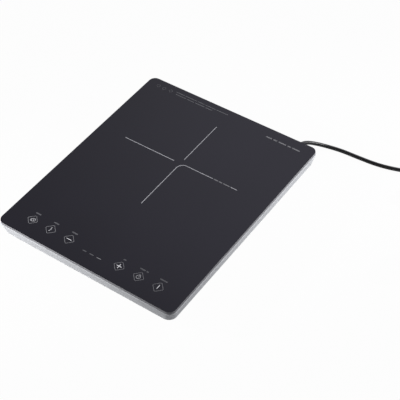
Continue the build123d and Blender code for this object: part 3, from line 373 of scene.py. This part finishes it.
# %% [markdown]
# ## Glass plate
# The plate is glass-ceramic, black right through, with a polished top and a finely ground
# edge. The ground edge scatters light and looks mid grey, so the same material turns
# rougher and paler below the arris. A mask on the height of the surface does it.

# %% Black glass
polished_to, ground_from = 0.15 * MM, 0.35 * MM
least_polish, most_polish, ground_rough = 0.05, 0.11, 0.45
glass_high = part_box("glass_top")[1]
glass = bpy.data.materials.new("black_glass_ceramic")
glass.use_nodes = True
tree = glass.node_tree
shader = tree.nodes["Principled BSDF"]
shader.inputs["Specular IOR Level"].default_value = 0.62
shader.inputs["Specular Tint"].default_value = (0.84, 0.82, 1.0, 1)
place = tree.nodes.new("ShaderNodeTexCoord")
apart = tree.nodes.new("ShaderNodeSeparateXYZ")
tree.links.new(place.outputs["Object"], apart.inputs["Vector"])
edge = tree.nodes.new("ShaderNodeMapRange")
edge.inputs["From Min"].default_value = glass_high.z - ground_from
edge.inputs["From Max"].default_value = glass_high.z - polished_to
edge.inputs["To Min"].default_value = 1.0
edge.inputs["To Max"].default_value = 0.0
tree.links.new(apart.outputs["Z"], edge.inputs["Value"])
cloud = tree.nodes.new("ShaderNodeTexNoise")
cloud.inputs["Scale"].default_value = 9.0
tree.links.new(place.outputs["Object"], cloud.inputs["Vector"])
body = tree.nodes.new("ShaderNodeValToRGB")
body.color_ramp.elements[0].color = (0.0062, 0.0060, 0.0078, 1)
body.color_ramp.elements[1].color = (0.0085, 0.0080, 0.0115, 1)
tree.links.new(cloud.outputs["Fac"], body.inputs["Fac"])
tone = tree.nodes.new("ShaderNodeMix")
tone.data_type = "RGBA"
tone.inputs["B"].default_value = (0.2, 0.2, 0.21, 1)
tree.links.new(edge.outputs["Result"], tone.inputs["Factor"])
tree.links.new(body.outputs["Color"], tone.inputs["A"])
tree.links.new(tone.outputs["Result"], shader.inputs["Base Color"])
smear = tree.nodes.new("ShaderNodeTexNoise")
smear.inputs["Scale"].default_value = 22.0
smear.inputs["Detail"].default_value = 6.0
tree.links.new(place.outputs["Object"], smear.inputs["Vector"])
polish = tree.nodes.new("ShaderNodeMapRange")
polish.inputs["To Min"].default_value = least_polish
polish.inputs["To Max"].default_value = most_polish
tree.links.new(smear.outputs["Fac"], polish.inputs["Value"])
ground = tree.nodes.new("ShaderNodeMix")
ground.inputs["B"].default_value = ground_rough
tree.links.new(edge.outputs["Result"], ground.inputs["Factor"])
tree.links.new(polish.outputs["Result"], ground.inputs["A"])
tree.links.new(ground.outputs["Result"], shader.inputs["Roughness"])
wear(glass, "glass_top")

# %% [markdown]
# ## Finishes of the other pieces
# The same helper serves rubber, plastics, plated metal, boards and windings. What changes
# is the colour, the gloss and how coarse the grain is.

# %% Rubber, plastics and metals
foot_rubber = finish("foot_rubber", (0.025, 0.025, 0.026), 0.7, grain=1500.0, depth=0.05)
seal = finish("grey_sealant", (0.16, 0.16, 0.165), 0.5)
zinc = finish("zinc_plate", (0.6, 0.61, 0.62), 0.32, metal=1.0, grain=1800.0, depth=0.01)
dark_plastic = finish("dark_plastic", (0.035, 0.035, 0.038), 0.45)
former_plastic = finish("former_plastic", (0.09, 0.088, 0.085), 0.55, grain=700.0)
sheath = finish(
    "cord_sheath", (0.007, 0.007, 0.008), 0.17, vary=0.2, grain=500.0, depth=0.01,
    Specular_IOR_Level=0.6, Coat_Weight=0.6, Coat_Roughness=0.1,
)
boot_rubber = finish("boot_rubber", (0.018, 0.018, 0.019), 0.4, grain=900.0)
nickel = finish(
    "nickel_plate", (0.72, 0.7, 0.65), 0.18, metal=1.0, vary=0.05, grain=1500.0, depth=0.005
)
bronze = finish("bronze", (0.62, 0.44, 0.22), 0.35, metal=1.0)
steel_sheets = finish("stator_steel", (0.3, 0.3, 0.31), 0.4, metal=0.8)
magnet = finish("magnet_ceramic", (0.05, 0.05, 0.052), 0.6)
ferrite = finish("ferrite", (0.06, 0.06, 0.065), 0.65, grain=1200.0, depth=0.05)
mica = finish("mica", (0.62, 0.55, 0.44), 0.35, vary=0.18, broad=140.0)
aluminium = finish("extruded_aluminium", (0.74, 0.75, 0.76), 0.34, metal=1.0, grain=600.0)
package = finish("moulded_package", (0.02, 0.02, 0.021), 0.5)
yellow_case = finish("yellow_case", (0.6, 0.42, 0.06), 0.35)
can_sleeve = finish("can_sleeve", (0.02, 0.03, 0.07), 0.3)
clear_tube = finish(
    "fuse_glass", (0.7, 0.72, 0.72), 0.12, grain=400.0, depth=0.005, Transmission_Weight=0.6
)
spring_leaf = finish("spring_leaf", (0.7, 0.66, 0.52), 0.28, metal=1.0)
red_wire = finish("red_insulation", (0.42, 0.03, 0.025), 0.35)
led_plastic = finish("led_plastic", (0.75, 0.75, 0.74), 0.25)
display_face = finish("display_face", (0.03, 0.012, 0.012), 0.2)
tie_cloth = finish(
    "tie_cloth", (0.03, 0.03, 0.032), 0.85, vary=0.3, broad=500.0, grain=2200.0, depth=0.15
)

# %% Who wears what
wear(foot_rubber, "foot_front_left", "foot_front_right", "foot_rear_left", "foot_rear_right")
wear(seal, "glass_sealant")
wear(zinc, "housing_screws", "coil_screws", "fan_screws", "board_screws", "fan_shaft")
wear(dark_plastic, "fan_frame", "fan_rotor", "cord_clamp", "board_connectors", "buzzer")
wear(former_plastic, "coil_former")
wear(foot_rubber, "pan_sensor")
wear(boot_rubber, "strain_relief")
wear(sheath, "inner_cord", "supply_cord", "cord_coil", "plug_lead")
wear(boot_rubber, "plug_body")
wear(nickel, "plug_contacts")
wear(bronze, "fan_bearing", "coil_terminals")
wear(steel_sheets, "fan_stator")
wear(magnet, "fan_magnet")
wear(ferrite, "ferrite_bars")
wear(mica, "mica_sheet")
wear(aluminium, "heatsink")
wear(package, "igbt", "bridge_rectifier", "switching_transformer")
wear(yellow_case, "resonant_capacitor", "smoothing_capacitor", "filter_capacitor")
wear(can_sleeve, "electrolytic_capacitors")
wear(clear_tube, "fuse")
wear(spring_leaf, *[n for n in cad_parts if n.startswith("touch_contact_")])
wear(red_wire, "coil_leads", "signal_leads", "supply_wires")
wear(led_plastic, "indicator_leds")
wear(display_face, "digit_display")
wear(tie_cloth, "cord_tie")
cord_curve.materials.append(sheath)

# %% [markdown]
# ## Litz winding, choke, boards and ribbon
# The coil is wound from a rope of hair-thin enamelled wires, so its surface shows fine
# lines that run round it. A wave texture in rings, centred on the coil by a Mapping node,
# gives them. The boards get faint copper tracks from a brick pattern, and the ribbon
# cable gets its parallel cores from bands.


# %% Striped finishes
wobble, groove = 0.4, 0.15 * MM


def striped(name, light, dark, scale, kind, centre=(0, 0, 0), rough=0.35, metal=0.0):
    """A finish with fine rings round a centre, or bands along X."""
    made = finish(name, light, rough, metal=metal)
    tree = made.node_tree
    shader = tree.nodes["Principled BSDF"]
    place = node_of(made, "TEX_COORD")
    shift = tree.nodes.new("ShaderNodeMapping")
    shift.inputs["Location"].default_value = [-c for c in centre]
    wave = tree.nodes.new("ShaderNodeTexWave")
    wave.wave_type = kind
    wave.rings_direction = "Z"
    wave.bands_direction = "X"
    wave.inputs["Scale"].default_value = scale
    wave.inputs["Distortion"].default_value = wobble
    tree.links.new(place.outputs["Object"], shift.inputs["Vector"])
    tree.links.new(shift.outputs["Vector"], wave.inputs["Vector"])
    tone = tree.nodes.new("ShaderNodeMix")
    tone.data_type = "RGBA"
    tone.inputs["A"].default_value = [*dark, 1]
    tone.inputs["B"].default_value = [*light, 1]
    tree.links.new(wave.outputs["Fac"], tone.inputs["Factor"])
    tree.links.new(tone.outputs["Result"], shader.inputs["Base Color"])
    bump = node_of(made, "BUMP")
    bump.inputs["Distance"].default_value = groove
    tree.links.new(wave.outputs["Fac"], bump.inputs["Height"])
    return made


def middle_of(node_name):
    """The middle of a CAD piece's box."""
    low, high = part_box(node_name)
    return (low + high) / 2


litz = striped(
    "litz_copper", (0.62, 0.25, 0.1), (0.3, 0.09, 0.03), 260.0, "RINGS",
    middle_of("coil_winding"), metal=0.7,
)
choke_wire = striped(
    "choke_wire", (0.66, 0.3, 0.1), (0.2, 0.07, 0.03), 160.0, "BANDS",
    middle_of("choke"), metal=0.6,
)
ribbon = striped("ribbon_cores", (0.62, 0.62, 0.64), (0.4, 0.4, 0.42), 120.0, "BANDS")
wear(litz, "coil_winding")
wear(choke_wire, "choke")
wear(ribbon, "ribbon_cable")

# %% Boards
board_green = (0.02, 0.1, 0.035)
board = finish("board_green", board_green, 0.3, vary=0.08)
tree = board.node_tree
place = node_of(board, "TEX_COORD")
tracks = tree.nodes.new("ShaderNodeTexBrick")
tracks.inputs["Scale"].default_value = 42.0
tracks.inputs["Mortar Size"].default_value = 0.03
tracks.inputs["Color1"].default_value = (*board_green, 1)
tracks.inputs["Color2"].default_value = (0.024, 0.12, 0.042, 1)
tracks.inputs["Mortar"].default_value = (0.05, 0.2, 0.07, 1)
tree.links.new(place.outputs["Object"], tracks.inputs["Vector"])
tree.links.new(tracks.outputs["Color"], tree.nodes["Principled BSDF"].inputs["Base Color"])
wear(board, "main_board", "control_board")
print(len(bpy.data.materials), "materials")

# %% [markdown]
# ## Ribs of the cord boots
# Where the cord leaves the housing and where it enters the plug, a tapered boot keeps it
# from being bent sharply. Such boots have moulded rings, so that they bend evenly. One
# small rounded section is spun round the boot's middle line for each ring, which is
# easier to space and to change than rings cut out of the boot.


# %% Boot ribs
rib_w, rib_rise, rib_start = 1.0 * MM, 0.9 * MM, 1.3 * MM
boot_taper = 0.11
rib_steps = 48
# The section of a ring: along the boot in widths, and outwards in rises.
rib_shape = (
    (-0.5, 0.0), (-0.5, 0.6), (-0.3, 0.93), (0.0, 1.0), (0.3, 0.93), (0.5, 0.6), (0.5, 0.0)
)


def boot_ribs(name, node, tip_r, count, step):
    """Rings round the tapered end of a node's boot, counted from its rear tip."""
    low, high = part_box(node)
    middle = (low + high) / 2
    ribs = bmesh.new()
    for ring_no in range(count):
        back = rib_start + ring_no * step
        foot = tip_r + boot_taper * back - rib_rise / 2
        section = []
        for along, out in rib_shape:
            place = (middle.x + foot + out * rib_rise, high.y - back + along * rib_w, middle.z)
            section.append(ribs.verts.new(place))
        edges = [ribs.edges.new((section[n - 1], section[n])) for n in range(len(section))]
        bmesh.ops.spin(
            ribs, geom=section + edges, cent=(middle.x, 0, middle.z), axis=(0, 1, 0),
            angle=2 * math.pi, steps=rib_steps, use_merge=True,
        )
    bmesh.ops.recalc_face_normals(ribs, faces=ribs.faces)
    for face in ribs.faces:
        face.smooth = True
    data = bpy.data.meshes.new(name)
    ribs.to_mesh(data)
    ribs.free()
    data.materials.append(boot_rubber)
    piece = bpy.data.objects.new(name, data)
    bpy.context.scene.collection.objects.link(piece)
    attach(piece, "cooktop")
    print(name, len(data.polygons), "faces")


boot_ribs("boot_ribs", "strain_relief", 3.7 * MM, 3, 2.0 * MM)
boot_ribs("plug_ribs", "plug_body", 4.0 * MM, 7, 2.4 * MM)

# %% [markdown]
# ## Print on the glass
# The cooking cross, the key frames and their signs are ceramic ink fired onto the glass.
# Each group of marks is one thin mesh: flat outlines are drawn with bmesh operators, then
# raised by a few hundredths of a millimetre, which is how thick such an ink really is.

# %% Ink and helpers for marks
VERT, EDGE = bmesh.types.BMVert, bmesh.types.BMEdge
ink_t = 0.04 * MM
glass_z = glass_high.z
weld = 0.001  # in millimetres, as the marks are while they are drawn
corner_steps = 5
ink_white = finish("ink_white", (0.56, 0.56, 0.58), 0.5, vary=0.04)
ink_line = finish("ink_line", (0.29, 0.29, 0.312), 0.5, vary=0.04)
ink_grey = finish("ink_grey", (0.135, 0.135, 0.145), 0.5, vary=0.05)
ink_sign = finish("ink_sign", (0.27, 0.27, 0.285), 0.5, vary=0.05)
ink_caption = finish("ink_caption", (0.07, 0.07, 0.077), 0.5, vary=0.05)
ink_faint = finish("ink_faint", (0.1, 0.1, 0.11), 0.5, vary=0.1)


def kinds(made, kind):
    """The vertices or the edges among what an operator returned."""
    return [part for part in made if isinstance(part, kind)]


def mark_bar(marks, x, y, length, width, turn=0.0):
    """A straight bar centred at (x, y) in millimetres."""
    place = Matrix.Translation((x, y, 0)) @ Matrix.Rotation(math.radians(turn), 4, "Z")
    place = place @ Matrix.Diagonal((length, width, 1, 1))
    bmesh.ops.create_grid(marks, x_segments=1, y_segments=1, size=0.5, matrix=place)


def mark_outline(marks, x, y, radius, corners, width, rounding=0.0):
    """A ring with this many corners, whose corners are rounded if asked."""
    made = bmesh.ops.create_circle(
        marks, cap_ends=True, segments=corners, radius=radius, matrix=Matrix.Translation((x, y, 0))
    )
    face = made["verts"][0].link_faces[0]
    if rounding:
        bmesh.ops.bevel(
            marks, geom=list(face.verts), offset=rounding, segments=corner_steps, profile=0.5,
            affect="VERTICES", material=-1,
        )
        face = max((f for f in marks.faces if f.is_valid), key=lambda f: len(f.verts))
    bmesh.ops.inset_individual(marks, faces=[face], thickness=width, use_even_offset=True)
    bmesh.ops.delete(marks, geom=[face], context="FACES")


def mark_stroke(marks, path, width):
    """A bent stroke that follows a few points: a short edge is pulled from each to the next."""
    points = [Vector((x, y, 0)) for x, y in path]
    edge, left = None, None
    for number, point in enumerate(points):
        along = points[min(number + 1, len(points) - 1)] - points[max(number - 1, 0)]
        side = Vector((-along.y, along.x, 0)).normalized() * width / 2
        if edge is None:
            ends = [bmesh.ops.create_vert(marks, co=point + s * side)["vert"][0] for s in (1, -1)]
            edge = marks.edges.new(ends)
            left = ends[0].co.copy()
            continue
        grown = bmesh.ops.extrude_edge_only(marks, edges=[edge])["geom"]
        edge = kinds(grown, EDGE)[0]
        near, far = sorted(edge.verts, key=lambda v: (v.co - left).length)
        near.co, far.co = point + side, point - side
        left = near.co.copy()


def raise_marks(name, marks, ink):
    """Turns flat outlines into one thin piece on the glass."""
    bmesh.ops.remove_doubles(marks, verts=marks.verts, dist=weld)
    bmesh.ops.recalc_face_normals(marks, faces=marks.faces)
    for face in marks.faces:
        if face.normal.z < 0:
            face.normal_flip()
    top = bmesh.ops.extrude_face_region(marks, geom=list(marks.faces))
    lifted = kinds(top["geom"], VERT)
    bmesh.ops.translate(marks, verts=lifted, vec=(0, 0, ink_t / MM))
    bmesh.ops.scale(marks, vec=(MM, MM, MM), verts=marks.verts)
    bmesh.ops.translate(marks, verts=marks.verts, vec=(0, 0, glass_z))
    bmesh.ops.recalc_face_normals(marks, faces=marks.faces)
    data = bpy.data.meshes.new(name)
    marks.to_mesh(data)
    marks.free()
    data.materials.append(ink)
    piece = bpy.data.objects.new(name, data)
    bpy.context.scene.collection.objects.link(piece)
    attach(piece, "cooktop")
    print(name, len(data.polygons), "faces")


# %% Cooking cross
# Places on the glass are in millimetres from its middle, +X right and +Y rear.
cross_w = 0.95
cross_x, cross_y = -1.3, 45.6
left_arm_x, left_arm_y, left_arm_len = -53.3, cross_y - 0.6, 83.0
rear_arm_y, rear_arm_len = 92.75, 77.9
front_end_y, right_end_x, bend_r, bend_steps = -42.7, 51.5, 10.0, 10
last_dash_x, last_dash_len = 85.2, 10.0

cross = bmesh.new()
mark_bar(cross, left_arm_x, left_arm_y, left_arm_len, cross_w)
mark_bar(cross, cross_x, rear_arm_y, rear_arm_len, cross_w, 90)
mark_bar(cross, last_dash_x, cross_y, last_dash_len, cross_w)

# The front arm runs to the rear, bends to the right in a quarter circle and runs on.
start = []
for half in (-cross_w / 2, cross_w / 2):
    corner = (cross_x + half, front_end_y, 0)
    start.append(bmesh.ops.create_vert(cross, co=corner)["vert"][0])
grown = bmesh.ops.extrude_edge_only(cross, edges=[cross.edges.new(start)])["geom"]
run = cross_y - bend_r - front_end_y
bmesh.ops.translate(cross, verts=kinds(grown, VERT), vec=(0, run, 0))
spun = bmesh.ops.spin(
    cross, geom=kinds(grown, VERT) + kinds(grown, EDGE), axis=(0, 0, 1),
    cent=(cross_x + bend_r, cross_y - bend_r, 0), angle=-math.pi / 2, steps=bend_steps,
)["geom_last"]
grown = bmesh.ops.extrude_edge_only(cross, edges=kinds(spun, EDGE))["geom"]
run = right_end_x - (cross_x + bend_r)
bmesh.ops.translate(cross, verts=kinds(grown, VERT), vec=(run, 0, 0))
raise_marks("print_cross", cross, ink_line)

# %% Key frames
key_y = -144.0
key_xs = (-101.5, -71.0, -40.3, 40.5, 71.0, 101.0)
frame_r, frame_line, frame_rounding = 8.5, 0.6, 1.8
frames = bmesh.new()
for x in key_xs:
    mark_outline(frames, x, key_y, frame_r, 4, frame_line, rounding=frame_rounding)
raise_marks("print_key_frames", frames, ink_grey)

# %% Signs in the keys
# Each sign is plain: rings, bars and a bent stroke, placed from the middle of its key.
ring_corners = 24
signs = bmesh.new()
for key, dx, dy, radius, width in (
    (0, -0.6, -0.4, 2.6, 0.7),
    (0, 1.2, 0.5, 2.9, 0.6),
    (4, 0.0, -0.5, 3.1, 0.6),
):
    mark_outline(signs, key_xs[key] + dx, key_y + dy, radius, ring_corners, width)
for key, dx, dy, length, width, turn in (
    (4, 0.5, -0.2, 2.4, 0.7, 55),
    (4, 0.0, 3.2, 2.0, 0.8, 0),
):
    mark_bar(signs, key_xs[key] + dx, key_y + dy, length, width, turn)
bent = ((-0.9, -3.6), (-0.2, -2.2), (0.3, -0.4), (-0.1, 1.4), (-0.5, 2.6), (-0.1, 3.8))
mark_stroke(signs, [(key_xs[1] + dx, key_y + dy) for dx, dy in bent], 1.0)
lit_dash_x, dash_y = 11.5, key_y - 4.2
mark_bar(signs, lit_dash_x, dash_y, 6.6, 0.55)
raise_marks("print_key_signs", signs, ink_sign)

bright_signs = bmesh.new()
for key, dx, dy, length, width, turn in (
    (2, 0.0, 0.0, 7.6, 0.7, 0),
    (3, -2.1, 0.0, 3.3, 0.85, 0),
    (3, 2.1, 0.0, 3.3, 0.85, 0),
    (3, 0.0, 0.0, 7.4, 0.85, 90),
    (5, 0.0, 0.6, 6.8, 0.9, 90),
):
    mark_bar(bright_signs, key_xs[key] + dx, key_y + dy, length, width, turn)
raise_marks("print_bright_signs", bright_signs, ink_white)

# %% Captions
caption_y, caption_h, dash_h = key_y + 12.2, 1.9, 1.4
captions = bmesh.new()
for key, dx, width in (
    (0, 0.0, 8.0),
    (1, 0.0, 8.0),
    (2, 0.0, 9.0),
    (3, 0.0, 4.0),
    (4, -2.3, 8.0),
    (4, 4.9, 3.0),
    (5, 0.0, 11.0),
):
    mark_bar(captions, key_xs[key] + dx, caption_y, width, caption_h)
for x, width in ((-11.5, 5.6), (-0.2, 6.6)):
    mark_bar(captions, x, dash_y, width, dash_h)
raise_marks("print_captions", captions, ink_caption)


# %% Plain marks at the rear
def mark_row(marks, y, height, dashes):
    """A row of dashes, each given by its left end and its length."""
    for left_end, length in dashes:
        mark_bar(marks, left_end + length / 2, y, length, height)


rear = bmesh.new()
mark_row(rear, 153.0, 2.0, ((66.9, 9.0), (78.4, 6.0), (86.9, 12.0), (101.4, 5.0), (108.9, 11.7)))
mark_row(rear, cross_y, 1.5, ((53.0, 7.0), (61.5, 5.0), (68.0, 10.5)))
raise_marks("print_rear_dashes", rear, ink_grey)

note_ring_r, note_ring_line, note_ring_rounding, note_h = 3.4, 0.5, 1.0, 1.1
notes = bmesh.new()
for x, y in ((-120.8, 157.2), (-110.4, 156.4), (-99.1, 157.4)):
    mark_outline(notes, x, y, note_ring_r, 4, note_ring_line, rounding=note_ring_rounding)
mark_row(notes, 160.0, note_h, ((-91, 14), (-75, 20), (-53, 11), (-40, 17), (-21, 19)))
mark_row(notes, 155.6, note_h, ((-89, 18), (-69, 12), (-55, 16), (-37, 11)))
raise_marks("print_faint_rows", notes, ink_faint)
